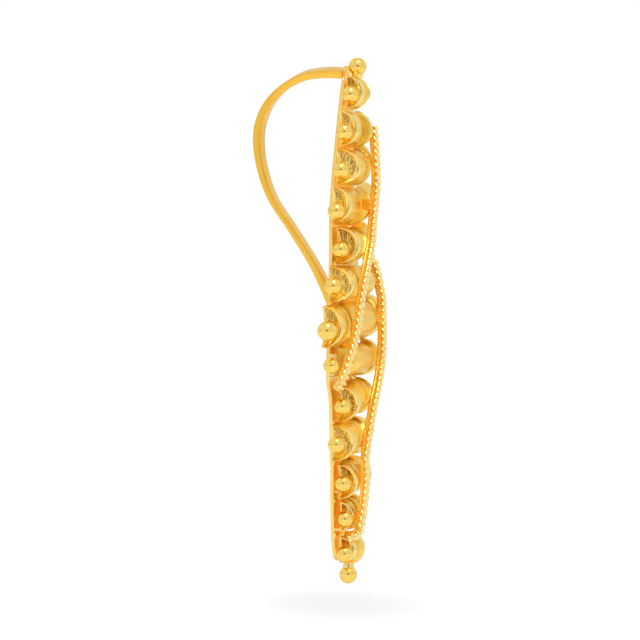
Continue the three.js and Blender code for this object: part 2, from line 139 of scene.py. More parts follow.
def tool_marks_group():
    """Marks of a tool, so many to a millimetre each way, over uneven hammering and fine pits."""
    group, given, result = new_group(
        "tool_marks",
        [
            ("Vector", "NodeSocketVector"),
            ("Round", "NodeSocketFloat"),
            ("Along", "NodeSocketFloat"),
            ("Line depth", "NodeSocketFloat"),
            ("Swell", "NodeSocketFloat"),
            ("Pits", "NodeSocketFloat"),
        ],
        [("Normal", "NodeSocketVector"), ("Lines", "NodeSocketFloat"), ("Patches", "NodeSocketFloat")],
    )
    stretch = make_node(group, "ShaderNodeCombineXYZ", {
        "X": given["Round"], "Y": given["Along"], "Z": given["Round"],
    })
    drawn = worked(group, "MULTIPLY", given["Vector"], stretch.outputs[0], "ShaderNodeVectorMath")
    lines = noise(group, drawn, 1.0, 3.0)
    patches = noise(group, given["Vector"], 1.1, 1.0)
    pits = noise(group, given["Vector"], 14.0, 2.0)
    line_height = worked(group, "MULTIPLY", lines, given["Line depth"])
    patch_height = worked(group, "MULTIPLY", patches, given["Swell"])
    pit_height = worked(group, "MULTIPLY", pits, given["Pits"])
    total = worked(group, "ADD", worked(group, "ADD", line_height, patch_height), pit_height)
    bump = make_node(group, "ShaderNodeBump", {"Strength": 1.0, "Distance": MM, "Height": total})
    group.links.new(bump.outputs[0], result["Normal"])
    group.links.new(lines, result["Lines"])
    group.links.new(patches, result["Patches"])
    return group


RECESS_GLOW = painted_recess_group()
TOOL_MARKS = tool_marks_group()


def gold(name, open_colour, shade_colour, rough, marks, reach=0.7, by_uv=True,
         recess=PAINTED_RECESS_GOLD, light=RECESS_LIGHT, metallic=1.0):
    """A gold finish: its tool lines drawn in two colours, painted orange shade and glow in its recesses,
    roughness varied in patches.
    """
    material = bpy.data.materials.new(name)
    material.use_nodes = True
    tree = material.node_tree
    shader = tree.nodes["Principled BSDF"]
    shader.inputs["Metallic"].default_value = metallic
    shader.inputs["Specular Tint"].default_value = EDGE_TINT
    # strength of the painted orange glow that recesses give off
    shader.inputs["Emission Strength"].default_value = light
    coordinates = make_node(tree, "ShaderNodeTexCoord")
    source = coordinates.outputs["UV"] if by_uv else coordinates.outputs["Object"]
    per_mm = 1.0 if by_uv else 1 / MM
    vector = worked(tree, "MULTIPLY", source, (per_mm, per_mm, per_mm), "ShaderNodeVectorMath")
    traces = make_node(tree, "ShaderNodeGroup", {"Vector": vector, **marks}, node_tree=TOOL_MARKS).outputs
    tone = mapped(tree, traces["Lines"], LINE_TONES, (0.0, 1.0))
    lined = mixed(tree, tone, (*shade_colour, 1), (*open_colour, 1))
    # Painted shade and reflection: recesses turn a deeper orange and give off a painted glow.
    glow = make_node(tree, "ShaderNodeGroup", {
        "Open colour": lined, "Painted recess colour": recess, "Reach": reach * MM,
    }, node_tree=RECESS_GLOW).outputs
    tree.links.new(mixed(tree, glow["Depth"], BLACK, RECESS_LIGHT_COLOUR), shader.inputs["Emission Color"])
    tree.links.new(glow["Colour"], shader.inputs["Base Color"])
    tree.links.new(mapped(tree, traces["Patches"], PATCH_TONES, rough), shader.inputs["Roughness"])
    tree.links.new(traces["Normal"], shader.inputs["Normal"])
    return material


plate_gold = gold("sheet_gold", PALE_GOLD, FULL_GOLD, (0.16, 0.28), {
    "Round": 0.6, "Along": 7.0, "Line depth": 0.002, "Swell": 0.01, "Pits": 0.0015,
}, by_uv=False)
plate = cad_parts["back_plate"]
plate.data.materials.clear()
plate.data.materials.append(plate_gold)

# ---------------------------------------------------------------------------------------------
# Bail: a flat gold ribbon 1.55 mm wide, bent out from behind the top in one long bow and soldered
# low on the back. Its edges are filed square with a slight round, and the drawplate's faint lines
# run along it.

BAIL_WIDTH = 1.55
BAIL_CORNER = 0.09
BAIL_STEPS = 160
BAIL_SEAT = 0.03  # the ribbon stays this far behind the plate
BAIL_LINE = [  # distance behind the plate, height, thickness, twist in degrees
    (0.08, 0.52, 0.64, 15), (1.6, 0.56, 0.64, 15), (3.5, 0.26, 0.64, 13), (5.2, -0.64, 0.66, 9),
    (6.52, -1.95, 0.68, 5), (7.3, -3.5, 0.68, 1), (7.56, -5.2, 0.68, 0), (7.25, -7.5, 0.64, 0),
    (6.26, -10.2, 0.58, 0), (4.36, -12.92, 0.56, 0), (2.52, -15.65, 0.6, 0), (1.3, -17.9, 0.68, 0),
    (0.62, -19.6, 0.64, 0), (0.36, -21.4, 0.5, 0),
]
SHARP_ANGLE = math.radians(35)  # edges steeper than this stay crisp


def smooth_line(rows, steps):
    """Points along a curve through the rows of a table, every column carried along with it."""
    before_first = [2 * a - b for a, b in zip(rows[0], rows[1])]
    after_last = [2 * a - b for a, b in zip(rows[-1], rows[-2])]
    rows = [before_first, *rows, after_last]
    points = []
    for step in range(steps + 1):
        share = step / steps * (len(rows) - 3)
        span = min(int(share), len(rows) - 4)
        t = share - span
        p0, p1, p2, p3 = rows[span:span + 4]
        points.append([
            0.5 * (
                2 * b + (c - a) * t + (2 * a - 5 * b + 4 * c - d) * t * t
                + (3 * b - a - 3 * c + d) * t ** 3
            )
            for a, b, c, d in zip(p0, p1, p2, p3)
        ])
    return points


def finish_at(bands, band, segment):
    """The finish of a face: one for the whole part, one for each band, or (scored, plain, scored to)."""
    finish = bands[band] if isinstance(bands, list) else bands
    if isinstance(finish, tuple):
        scored, plain, reach = finish
        return scored if segment < reach else plain
    return finish


def build_piece(name, parts, materials):
    """One mesh from lofted parts: rings, their marks and the finish of each band or band and segment."""
    mesh_data = bpy.data.meshes.new(name)
    points, faces, slots, uvs = [], [], [], []
    for rings, marks, bands in parts:
        start = len(points)
        count = len(rings[0])
        for ring in rings:
            points.extend(point * MM for point in ring)
        for band in range(len(rings) - 1):
            for i in range(count):
                j = (i + 1) % count
                corners = ((band, i, i), (band, j, i + 1), (band + 1, j, i + 1), (band + 1, i, i))
                faces.append([start + row * count + column for row, column, _ in corners])
                uvs.append([marks[row][mark] for row, _, mark in corners])
                slots.append(finish_at(bands, band, i))
        for row, order in ((0, range(count - 1, -1, -1)), (len(rings) - 1, range(count))):
            faces.append([start + row * count + i for i in order])
            uvs.append([marks[row][i] for i in order])
            slots.append(finish_at(bands, min(row, len(rings) - 2), 0))
    mesh_data.from_pydata(points, [], faces)
    for material in materials:
        mesh_data.materials.append(material)
    layer = mesh_data.uv_layers.new(name="marks")
    layer.data.foreach_set("uv", [value for face in uvs for mark in face for value in mark])
    mesh_data.polygons.foreach_set("material_index", slots)
    shaped = bmesh.new()
    shaped.from_mesh(mesh_data)
    bmesh.ops.recalc_face_normals(shaped, faces=shaped.faces)
    shaped.to_mesh(mesh_data)
    shaped.free()
    mesh_data.shade_smooth()
    mesh_data.set_sharp_from_angle(angle=SHARP_ANGLE)
    piece = bpy.data.objects.new(name, mesh_data)
    bpy.context.collection.objects.link(piece)
    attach(piece, "root")
    return piece


def rounded_section(width, thick, corner, per_corner=3):
    """A rectangle with rounded corners, as (across, through) pairs."""
    section = []
    for quarter, (side, face) in enumerate(((1, 1), (-1, 1), (-1, -1), (1, -1))):
        for step in range(per_corner + 1):
            angle = math.pi / 2 * (quarter + step / per_corner)
            section.append((
                side * (width / 2 - corner) + corner * math.cos(angle),
                face * (thick / 2 - corner) + corner * math.sin(angle),
            ))
    return section


def section_marks(section, along):
    """Mark coordinates in mm round a section, each with how far along the piece the section is."""
    travelled = 0.0
    marks = [(0.0, along)]
    for first, second in zip(section, section[1:] + section[:1]):
        travelled += math.dist(first, second)
        marks.append((travelled, along))
    return marks


def bail_parts():
    line = smooth_line(BAIL_LINE, BAIL_STEPS)
    rings, marks = [], []
    travelled = 0.0
    for step, (back, z, thick, twist) in enumerate(line):
        before = line[max(step - 1, 0)]
        after = line[min(step + 1, BAIL_STEPS)]
        along = Vector((0, after[0] - before[0], after[1] - before[1])).normalized()
        across = Matrix.Rotation(math.radians(-twist), 3, along) @ Vector((1, 0, 0))
        outward = across.cross(along)
        if step:
            travelled += math.dist((back, z), line[step - 1][:2])
        section = rounded_section(BAIL_WIDTH, thick, BAIL_CORNER)
        ring = []
        for side, face in section:
            point = Vector((0, BACK_Y + back, z)) + across * side + outward * face
            point.y = max(point.y, BACK_Y + BAIL_SEAT)
            ring.append(point)
        rings.append(ring)
        marks.append(section_marks(section, travelled))
    return [(rings, marks, 0)]


bail_gold = gold("drawn_ribbon_gold", (1.0, 0.6, 0.09), (0.95, 0.54, 0.06), (0.22, 0.32), {
    "Round": 9.0, "Along": 0.2, "Line depth": 0.0015, "Swell": 0.0015, "Pits": 0.0,
}, reach=0.3)
bail = build_piece("bail_ribbon", bail_parts(), [bail_gold])
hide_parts("bail")

# ---------------------------------------------------------------------------------------------
# Petals: struck up from thin sheet, each a dome with a flat back whose outer end is cut open on
# the slant. The cut is dished and bright-scored, its lip burnished, and one solid gold ball is
# soldered in the mouth. Twelve run down the left side and the same twelve, turned round, the right.

STAND_OFF = 0.68  # height of the root's flat back above the plate's rear
CHANNEL = 0.38  # from the middle of a rope to the petals beside it
SEAT_GAP = 0.06
BALL_SEAT = 0.54  # the ball's middle stands this high over the petal's back
BALL_RADIUS = 0.72
BIG_BALL_RADIUS = 0.84
BALL_SIDES = 32
BALL_ROWS = 18
ARCH_STEPS = 32
BACK_STEPS = 6
ROOT_STEPS = 12
ROOT_CROWDING = 1.2  # how much closer the arches lie at the start
CUP_STEPS = 16
CUP_CROWDING = 1.3
LIP_STEPS = 8
DISH_STEPS = 10
ROOT_LOBE = 0.95  # length of the swelling at the root
ROOT_LOBE_SHARE = 0.4  # or this share of a short petal
ROOT_CLOSING = (0.3, 0.62)  # sizes of the two arches that close the root's end
CLOSING_CROWN = 0.9
CREASE = 0.01  # share of the cup taken by the crease behind it
UNDER_ROPE_ROOT = 0.56
MOUTH_SETBACK = 0.28  # from the ball's middle back to the petal's end
SLANT = 1.5  # how the cut end curves from the back up to the crown
MOUTH_WIDTH = 0.97
LIP_REACH = 0.42
LIP_DROP = 0.44
LIP_BULGE = 0.09
LIP_NARROWING = 0.1
LIP_MARKS = 0.6  # length of the lip in marks
BACK_WALL = 0.12
DISH_NARROWING = 0.5
DISH_LIFT = 1.5
HOLLOW_DEPTH = 0.3  # of the dish in an open end
SCOOP = 0.6  # the flat back is cut away between the two ends of the arch
SCOOP_SHARE = 0.35  # or this share of a short petal
CUT_DEPTH = 0.07
CUT_LENGTH = 0.75  # share of the way from the lip to the ball
PEG_WIDTH = 0.32  # half the width of the peg behind a ball
PEG_HEIGHT = 0.5
PEG_ROOT_HEIGHT = 0.55
PEG_TAPER = 0.9
PEG_ENDS = (0.9, 0.7)  # shares of the ball's radius at which the peg's last two rings lie
# root z, tip z, half height, crown, edge out and height, ball out, height and z, scored steps
BROAD_PETALS = [
    (19.44, 19.52, 1.46, 2.24, 1.36, 2.15, 2.34, 1.15, 19.34, 12),
    (16.25, 16.43, 1.56, 2.62, 2.3, 2.02, 3.35, 0.97, 16.14, 8),
    (13.06, 13.2, 1.56, 2.46, 2.4, 2.33, 4.15, 0.95, 12.92, 22),
    (9.75, 9.96, 1.62, 2.52, 3.9, 1.94, 5.32, 0.95, 9.46, 8),
    (6.45, 6.49, 1.58, 2.5, 2.45, 2.4, 3.89, 1.0, 6.16, 22),
    (3.22, 3.22, 1.58, 2.45, 4.25, 2.4, 5.89, 0.97, 3.1, 22),
    (-0.25, -0.35, 1.82, 2.24, 6.0, 2.05, 7.44, 0.95, -0.65, 9),
]
TAIL_PETALS = [  # the same columns
    (-6.41, -7.05, 1.54, 2.58, 1.35, 2.3, 2.89, 1.1, -7.23, 22),
    (-9.75, -10.35, 1.6, 2.42, 2.6, 2.3, 4.18, 1.0, -10.42, 22),
    (-13.2, -13.72, 1.52, 2.26, 0.95, 2.2, 2.14, 1.1, -13.84, 9),
    (-16.35, -16.72, 1.3, 1.88, 0.78, 1.86, 1.51, 1.15, -16.88, 22),
    (-19.4, -19.6, 1.12, 2.26, 0.3, 1.98, 0.95, 1.02, -19.9, 14),
]
ROPE_LINE = [  # z, distance out, height: the left rope, which the petals stop short of
    (16.6, -0.68, 2.38), (15.4, -0.62, 2.54), (13.2, -0.71, 2.7), (11.3, -0.85, 2.68),
    (8.5, 0.23, 2.76), (6.8, 0.98, 2.86), (5.1, 2.08, 2.87), (3.4, 3.0, 2.84),
    (1.7, 3.58, 2.74), (0, 3.95, 2.6), (-1.7, 4.36, 2.42), (-2.8, 4.5, 2.16), (-3.9, 4.56, 1.86),
    (-4.9, 4.48, 1.45), (-5.55, 4.1, 0.95),
]
STRUT_PETAL = BROAD_PETALS[3]
STRUT_Z, STRUT_WIDTH, STRUT_OUT, STRUT_LOW, STRUT_TOP = 10.02, 0.84, 1.0, 1.96, 2.68  # the rope's block
ROOT_WIDTH = [(0.0, 0.8), (0.2, 0.95), (0.6, 1.0), (1.0, 0.97)]
ROOT_CROWN = [(0.0, 0.78), (0.2, 0.95), (0.6, 1.0), (0.92, 0.98), (1.0, 0.95)]
CUP_WIDTH = [(0.0, 0.96), (0.12, 1.0), (0.6, 1.0), (1.0, MOUTH_WIDTH)]
CUP_CROWN = [(0.0, 0.92), (0.12, 1.0), (0.6, 1.02), (1.0, 1.0)]
SATIN, BURNISHED_HIGHLIGHT, SCORED, DISH, BALL = range(5)
rope_path = smooth_line(ROPE_LINE, 400)


def rope_out(z):
    """How far out the left rope runs at a height."""
    if z >= rope_path[0][0]:
        return rope_path[0][1]
    for above, below in zip(rope_path, rope_path[1:]):
        if z >= below[0]:
            share = (above[0] - z) / (above[0] - below[0])
            return above[1] + (below[1] - above[1]) * share
    return rope_path[-1][1]


def ramp(value, table):
    """Reads a table of (at, value) pairs, easing between them."""
    for (low, first), (high, second) in zip(table, table[1:]):
        if value <= high:
            t = max(0.0, (value - low) / (high - low))
            t = t * t * (3 - 2 * t)
            return first + (second - first) * t
    return table[-1][1]


def arch(half, rise, middle_z, back, out_at):
    """A closed section: an arch over a flat back at height back."""
    ring = []
    for step in range(ARCH_STEPS + 1):
        angle = math.pi * step / ARCH_STEPS
        across = half * math.cos(angle)
        up = rise * math.sin(angle)
        ring.append(place(out_at(across, up), back + up, middle_z + across))
    for step in range(1, BACK_STEPS):
        across = half * (2 * step / BACK_STEPS - 1)
        ring.append(place(out_at(across, 0), back, middle_z + across))
    return ring


def arch_marks(half, along):
    """Mark coordinates of an arch: round its girth, then along the petal."""
    girth = math.pi * half
    return [(girth * step / ARCH_STEPS, along) for step in range(ARCH_STEPS + BACK_STEPS + 1)]


def circle(radius, sides):
    """Points round a circle, as (across, up) pairs."""
    turns = [2 * math.pi * side / sides for side in range(sides)]
    return [(radius * math.cos(turn), radius * math.sin(turn)) for turn in turns]


def circle_marks(radius, sides, along):
    return [(2 * math.pi * radius * side / sides, along) for side in range(sides + 1)]


def ball_part(centre, radius, slot):
    rings, marks = [], []
    for row in range(1, BALL_ROWS):
        angle = math.pi * row / BALL_ROWS
        level = radius * math.cos(angle)
        rings.append([
            centre + Vector((x, y, level)) for x, y in circle(radius * math.sin(angle), BALL_SIDES)
        ])
        marks.append(circle_marks(radius, BALL_SIDES, radius * angle))
    return rings, marks, slot


def petal_parts(row, root_out, ball_radius):
    """A petal from its root out to the cut end, in over the lip, down the dish and up the peg to the ball."""
    root_z, tip_z, half, top, edge, edge_up, reach, ball_up, ball_z, scored_to = row
    mouth = reach - MOUTH_SETBACK
    length = mouth - root_out(root_z)
    seam = min(ROOT_LOBE / length, ROOT_LOBE_SHARE)
    back = ball_up - BALL_SEAT
    edge_rise = edge_up - back
    scoop = min(SCOOP, SCOOP_SHARE * length)
    rings, marks, bands = [], [], []

    def scooped(across, up):
        return scoop * max(0.0, 1 - (across / half) ** 2) * max(0.0, 1 - up / edge_rise) ** 2

    def add(ring, along, finish):
        rings.append(ring)
        marks.append(arch_marks(half, along))
        bands.append(finish)

    def skin(share, width, crown):
        """Adds an arch of the outer skin, a share of the way from the root to the cut end."""
        level = STAND_OFF + (back - STAND_OFF) * share
        rise = crown - level

        def out_at(across, up):
            root = root_out(root_z + across)
            end = mouth - (mouth - edge) * (up / rise) ** SLANT
            if up < 1e-6:
                end -= scooped(across, 0)
            return root + (end - root) * share
        ring = arch(half * width, rise, root_z + (tip_z - root_z) * share, level, out_at)
        if row is STRUT_PETAL:  # its root is cut down to seat the rope's block
            for point in ring:
                beside = abs(point.z - CENTRE_Z - STRUT_Z) < STRUT_WIDTH / 2 + SEAT_GAP
                if beside and -point.x < STRUT_OUT + SEAT_GAP:
                    point.y = max(point.y, BACK_Y - STRUT_LOW + SEAT_GAP)
        add(ring, share * length, SATIN)

    for size in ROOT_CLOSING:
        skin(0, size, STAND_OFF + (top - STAND_OFF) * size * CLOSING_CROWN)
    for step in range(ROOT_STEPS + 1):
        at = (step / ROOT_STEPS) ** ROOT_CROWDING
        skin(seam * at, ramp(at, ROOT_WIDTH), STAND_OFF + (top - STAND_OFF) * ramp(at, ROOT_CROWN))
    for step in range(CUP_STEPS + 1):
        at = (step / CUP_STEPS) ** CUP_CROWDING
        share = seam + (1 - seam) * (CREASE + (1 - CREASE) * at)
        skin(share, ramp(at, CUP_WIDTH), edge_up * ramp(at, CUP_CROWN))
    bands[-1] = BURNISHED_HIGHLIGHT

    rim_rise = edge_rise - LIP_DROP - BACK_WALL
    rim_set = mouth - edge - LIP_REACH
    for step in range(1, LIP_STEPS + 1):
        share = step / LIP_STEPS
        bulge = LIP_BULGE * math.sin(math.pi * share)
        rise = edge_rise + (rim_rise - edge_rise) * share + bulge
        set_back = mouth - edge + (rim_set - (mouth - edge)) * share - bulge
        power = SLANT + (1 - SLANT) * share
        add(
            arch(
                half * (MOUTH_WIDTH - LIP_NARROWING * share), rise, tip_z, back + BACK_WALL * share,
                lambda across, up: mouth - set_back * (up / rise) ** power - scooped(across, up),
            ),
            length + LIP_MARKS * share, BURNISHED_HIGHLIGHT,
        )
    bands[-1] = (SCORED, DISH, scored_to)
    for step in range(1, DISH_STEPS + 1):
        share = step / DISH_STEPS
        hollow = HOLLOW_DEPTH * math.sin(share * math.pi / 2)
        ring = arch(
            half * (MOUTH_WIDTH - LIP_NARROWING - DISH_NARROWING * share),
            rim_rise * (1 - DISH_NARROWING * share),
            tip_z + (ball_z - tip_z) * share,
            back + BACK_WALL * (1 + DISH_LIFT * share),
            lambda across, up: mouth - hollow - rim_set * (up / rim_rise) - scooped(across, up),
        )
        for segment in range(1, scored_to, 2):  # every second line is a cut of the scorer
            ring[segment] += Vector((CUT_DEPTH * math.sin(math.pi * min(share / CUT_LENGTH, 1.0)), 0, 0))
        add(ring, length + LIP_MARKS + share, (SCORED, DISH, scored_to) if share < CUT_LENGTH else DISH)

    # A short peg rises from the bottom of the dish and carries the ball.
    peg_back = ball_up - PEG_HEIGHT / 2

    def dish_bottom(across, up):
        over = peg_back - back + up
        return mouth - HOLLOW_DEPTH - rim_set * (over / rim_rise) - scooped(across, over)
    add(arch(PEG_WIDTH, PEG_ROOT_HEIGHT, ball_z, peg_back, dish_bottom), length + 2, DISH)
    for inward in PEG_ENDS:
        ring = arch(
            PEG_WIDTH * PEG_TAPER, PEG_HEIGHT, ball_z, peg_back,
            lambda across, up: reach - ball_radius * inward,
        )
        add(ring, length + 3 - inward, DISH)
    return [(rings, marks, bands), ball_part(place(reach, ball_up, ball_z), ball_radius, BALL)]


def half_turn(parts):
    """The same piece turned half round about the pendant's front-to-back axis."""
    turned = []
    for rings, marks, bands in parts:
        spun = [[Vector((-p.x, p.y, 2 * CENTRE_Z - p.z)) for p in ring] for ring in rings]
        turned.append((spun, marks, bands))
    return turned


dome_gold = gold("brushed_dome_gold", (1.0, 0.73, 0.18), (0.95, 0.64, 0.12), (0.26, 0.38), {
    "Round": 0.12, "Along": 5.0, "Line depth": 0.005, "Swell": 0.04, "Pits": 0.001,
})
# Burnished smoother than the domes, and painted paler in colour as a highlight.
burnished_highlight_gold = gold("burnished_lip_highlight_gold", (1.0, 0.78, 0.29), (1.0, 0.72, 0.21), (0.14, 0.24), {
    "Round": 3.0, "Along": 0.8, "Line depth": 0.004, "Swell": 0.03, "Pits": 0.002,
})
# The scoring is real; the dark second colour at the bottoms of its lines is painted shade.
scored_shaded_gold = gold("scored_dish_painted_shade_gold", (1.0, 0.77, 0.27), (0.36, 0.23, 0.055), (0.2, 0.32), {
    "Round": 9.0, "Along": 1.2, "Line depth": 0.06, "Swell": 0.05, "Pits": 0.01,
}, reach=0.5)
dish_gold = gold("polished_dish_gold", (1.0, 0.77, 0.25), (1.0, 0.69, 0.17), (0.14, 0.26), {
    "Round": 2.0, "Along": 2.0, "Line depth": 0.02, "Swell": 0.06, "Pits": 0.004,
}, reach=0.5)
ball_gold = gold("ball_gold", (1.0, 0.72, 0.18), (0.98, 0.66, 0.14), (0.08, 0.16), {
    "Round": 2.0, "Along": 2.0, "Line depth": 0.005, "Swell": 0.03, "Pits": 0.0008,
}, reach=0.5)
petal_finishes = [dome_gold, burnished_highlight_gold, scored_shaded_gold, dish_gold, ball_gold]


def add_petals(rows, name, roots):
    for number, row in enumerate(rows, 1):
        radius = BIG_BALL_RADIUS if row is BROAD_PETALS[-1] else BALL_RADIUS
        parts = petal_parts(row, roots(number), radius)
        for side, made in (("left", parts), ("right", half_turn(parts))):
            piece = build_piece(f"{side}_{name}_dressed_{number}", made, petal_finishes)
            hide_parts(f"{side}_{name}_{number}")


def broad_root(number):
    """Where a broad petal starts: at the middle line or beside the rope."""
    return (lambda z: SEAT_GAP / 2) if number == 1 else (lambda z: rope_out(z) + CHANNEL)


def tail_root(number):
    """Where a tail petal starts: at the middle line, under the rope's end or beside the other rope."""
    if number == len(TAIL_PETALS):
        return lambda z: SEAT_GAP / 2
    if number in (3, 4):
        return lambda z: UNDER_ROPE_ROOT
    return lambda z: CHANNEL - rope_out(-z)


add_petals(BROAD_PETALS, "petal", broad_root)
add_petals(TAIL_PETALS, "tail_petal", tail_root)

# ---------------------------------------------------------------------------------------------
# Centre domes: three long half-round pieces struck from sheet, closed at both ends, soldered side
# by side across the middle between the two ropes. Brushed upright to a soft satin.

CENTRE_TOP = 2.46
CENTRE_DOMES = [  # name, z, half height, fixed end on the left, fixed end on the right
    ("centre_dome_1", 3.3, 1.44, None, -2.95),
    ("centre_dome_2", 0.0, 1.74, None, None),
    ("centre_dome_3", -3.3, 1.44, 2.95, None),
]
DOME_ENDS = [(0.0, 0.75), (0.06, 0.93), (0.18, 1.0), (0.82, 1.0), (0.94, 0.93), (1.0, 0.75)]
DOME_STEPS = 30
DOME_CLOSING = (0.4, 0.8)  # sizes of the two arches that close each end
DOME_MARKS = 6.5  # length of a dome in marks


def dome_parts(z, half, left_end, right_end):
    rise = CENTRE_TOP - STAND_OFF
    steps = [(0, size) for size in DOME_CLOSING]
    steps += [(step, 1.0) for step in range(DOME_STEPS + 1)]
    steps += [(DOME_STEPS, size) for size in reversed(DOME_CLOSING)]
    rings, marks = [], []
    for step, closing in steps:
        share = step / DOME_STEPS
        size = ramp(share, DOME_ENDS) * closing

        def out_at(across, up):
            low = right_end if right_end is not None else CHANNEL - rope_out(-(z + across))
            high = left_end if left_end is not None else rope_out(z + across) - CHANNEL
            return low + (high - low) * share
        rings.append(arch(half * size, rise * size, z, STAND_OFF, out_at))
        marks.append(arch_marks(half, share * DOME_MARKS))
    return [(rings, marks, 0)]


centre_gold = gold("upright_satin_gold", (1.0, 0.7, 0.15), (0.94, 0.61, 0.1), (0.28, 0.4), {
    "Round": 0.1, "Along": 4.0, "Line depth": 0.007, "Swell": 0.03, "Pits": 0.001,
})
for name, z, half, left_end, right_end in CENTRE_DOMES:
    dome = build_piece(f"{name}_dressed", dome_parts(z, half, left_end, right_end), [centre_gold])
    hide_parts(name)

# ---------------------------------------------------------------------------------------------
# Ropes: two round wires twisted together and soldered along a flat strip. The left one swings out
# from beside the upper petals on a block, a post and two tabs, and thickens where it curls down to
# the plate's edge. The right one is the same turned half round, its inner end curled further on.

STRAND_RADIUS = 0.2
STRAND_OFFSET = 0.13
STRAND_SIDES = 12
STRAND_STEPS = 560
STRAND_PHASES = (0.4, 0.4 + math.pi)
CORE_RADIUS = 0.235  # solder fills the groove between the wires up to here
CORE_SIDES = 16
CORE_EVERY = 4  # the solder needs fewer rings than the wires
LAY_LENGTH = 1.14  # one full turn of the twist
THICK_END = 3.0  # length of the thicker end
THICKENING = 0.5
CURL_THICKENING = 0.3
STRIP_WIDTH = 0.5
STRIP_THICKNESS = 0.22
STRIP_CORNER = 0.05
STRIP_STEPS = 170
WIRE_LIFT = 0.11
STRIP_TOP = -0.15  # its front face, sunk a little into the wires
ROPE_CURL = [(18.5, -1.35, 1.3), (18.2, -0.98, 1.95), (17.75, -0.8, 2.2)]
PLATE_TOP = 0.36  # front face of the plate, above its rear
POST_Z = -0.3
POST_LENGTH = 0.44
POST_WIDTH = 0.8
POST_SINK = 0.05  # how far the strip is let into the post
TAB_HEIGHTS = (3.9, -0.17)
TAB_REACH = 0.62
TAB_THICKNESS = 0.2
TAB_WIDTH = 0.5
BLOCK_CORNER = 0.04
BLOCK_INSET = 0.06
WIRE, STRIP, BLOCK = range(3)


def rope_frames(rows, steps):
    """Points along a rope with the directions across and out of it, and the length up to each."""
    frames = []
    points = [Vector((out, height, z)) for z, out, height in smooth_line(rows, steps)]
    travelled = 0.0
    for step, point in enumerate(points):
        ahead = points[min(step + 1, steps)] - points[max(step - 1, 0)]
        along = ahead.normalized()
        side = along.cross(Vector((0, 1, 0))).normalized()
        front = side.cross(along)
        if step:
            travelled += (point - points[step - 1]).length
        frames.append((point, side, front, travelled))
    return frames


def swept(frames, slot, section_at):
    """A part whose section, worked out from the length travelled, follows the frames of a rope."""
    rings, marks = [], []
    for point, side, front, travelled in frames:
        section = section_at(travelled)
        spots = [point + side * across + front * up for across, up in section]
        rings.append([place(*spot) for spot in spots])
        marks.append(section_marks(section, travelled))
    return rings, marks, slot


def strand_section(phase, length, curled):
    """The section of one wire, which turns round the rope's middle and thickens at its ends."""
    def at(travelled):
        size = 1 + THICKENING * ramp(travelled, [(0, 0), (length - THICK_END, 0), (length, 1)])
        if curled:
            size += CURL_THICKENING * ramp(travelled, [(0, 1), (THICK_END, 0)])
        angle = 2 * math.pi * travelled / LAY_LENGTH + phase
        across = STRAND_OFFSET * size * math.cos(angle)
        up = WIRE_LIFT + STRAND_OFFSET * size * math.sin(angle)
        return [(across + a, up + b) for a, b in circle(STRAND_RADIUS * size, STRAND_SIDES)]
    return at


def block_part(out, height, z, sizes, slot):
    """A small block with rounded corners, as long outwards, high and wide as its sizes say."""
    length, depth, width = sizes
    rings, marks = [], []
    for end, inset in ((-0.5, BLOCK_INSET), (-0.5, 0.0), (0.5, 0.0), (0.5, BLOCK_INSET)):
        level = height + end * (depth - BLOCK_INSET)
        section = rounded_section(length - inset, width - inset, BLOCK_CORNER, 2)
        rings.append([place(out + a, level, z + b) for a, b in section])
        marks.append(section_marks(section, height + end * (depth - inset)))
    return rings, marks, slot


def rope_at(z):
    """How far out and how high the left rope runs at a height."""
    return next((out, height) for level, out, height in rope_path if level <= z)


def rope_parts(rows, curled=False):
    frames = rope_frames(rows, STRAND_STEPS)
    length = frames[-1][3]
    parts = [swept(frames, WIRE, strand_section(phase, length, curled)) for phase in STRAND_PHASES]
    core = [(a, WIRE_LIFT + b) for a, b in circle(CORE_RADIUS, CORE_SIDES)]
    parts.append(swept(frames[::CORE_EVERY], WIRE, lambda travelled: core))
    middle = STRIP_TOP - STRIP_THICKNESS / 2
    strip = [(a, middle + b) for a, b in rounded_section(STRIP_WIDTH, STRIP_THICKNESS, STRIP_CORNER, 2)]
    parts.append(swept(rope_frames(rows, STRIP_STEPS), STRIP, lambda travelled: strip))

    out, height = rope_at(POST_Z)
    head = height + STRIP_TOP - POST_SINK
    post_sizes = (POST_LENGTH, head - PLATE_TOP, POST_WIDTH)
    parts.append(block_part(out, (head + PLATE_TOP) / 2, POST_Z, post_sizes, STRIP))
    start = rope_at(STRUT_Z)[0]
    middle = (STRUT_LOW + STRUT_TOP) / 2
    strut_sizes = (STRUT_OUT - start, STRUT_TOP - STRUT_LOW, STRUT_WIDTH)
    parts.append(block_part((start + STRUT_OUT) / 2, middle, STRUT_Z, strut_sizes, BLOCK))
    for z in TAB_HEIGHTS:
        out, height = rope_at(z)
        level = height + STRIP_TOP - STRIP_THICKNESS / 2
        parts.append(block_part(out - TAB_REACH / 2, level, z, (TAB_REACH, TAB_THICKNESS, TAB_WIDTH), WIRE))
    return parts


wire_gold = gold("twisted_wire_gold", (1.0, 0.8, 0.36), (0.98, 0.74, 0.26), (0.12, 0.24), {
    "Round": 3.0, "Along": 3.0, "Line depth": 0.02, "Swell": 0.02, "Pits": 0.006,
}, reach=0.16, recess=(1.0, 0.66, 0.17, 1))
strip_gold = gold("strip_gold", (1.0, 0.58, 0.08), (1.0, 0.5, 0.04), (0.14, 0.26), {
    "Round": 6.0, "Along": 1.0, "Line depth": 0.004, "Swell": 0.01, "Pits": 0.002,
}, metallic=0.8)  # less metallic and a deeper orange as painted shade and reflection of the gold round them, the block more so
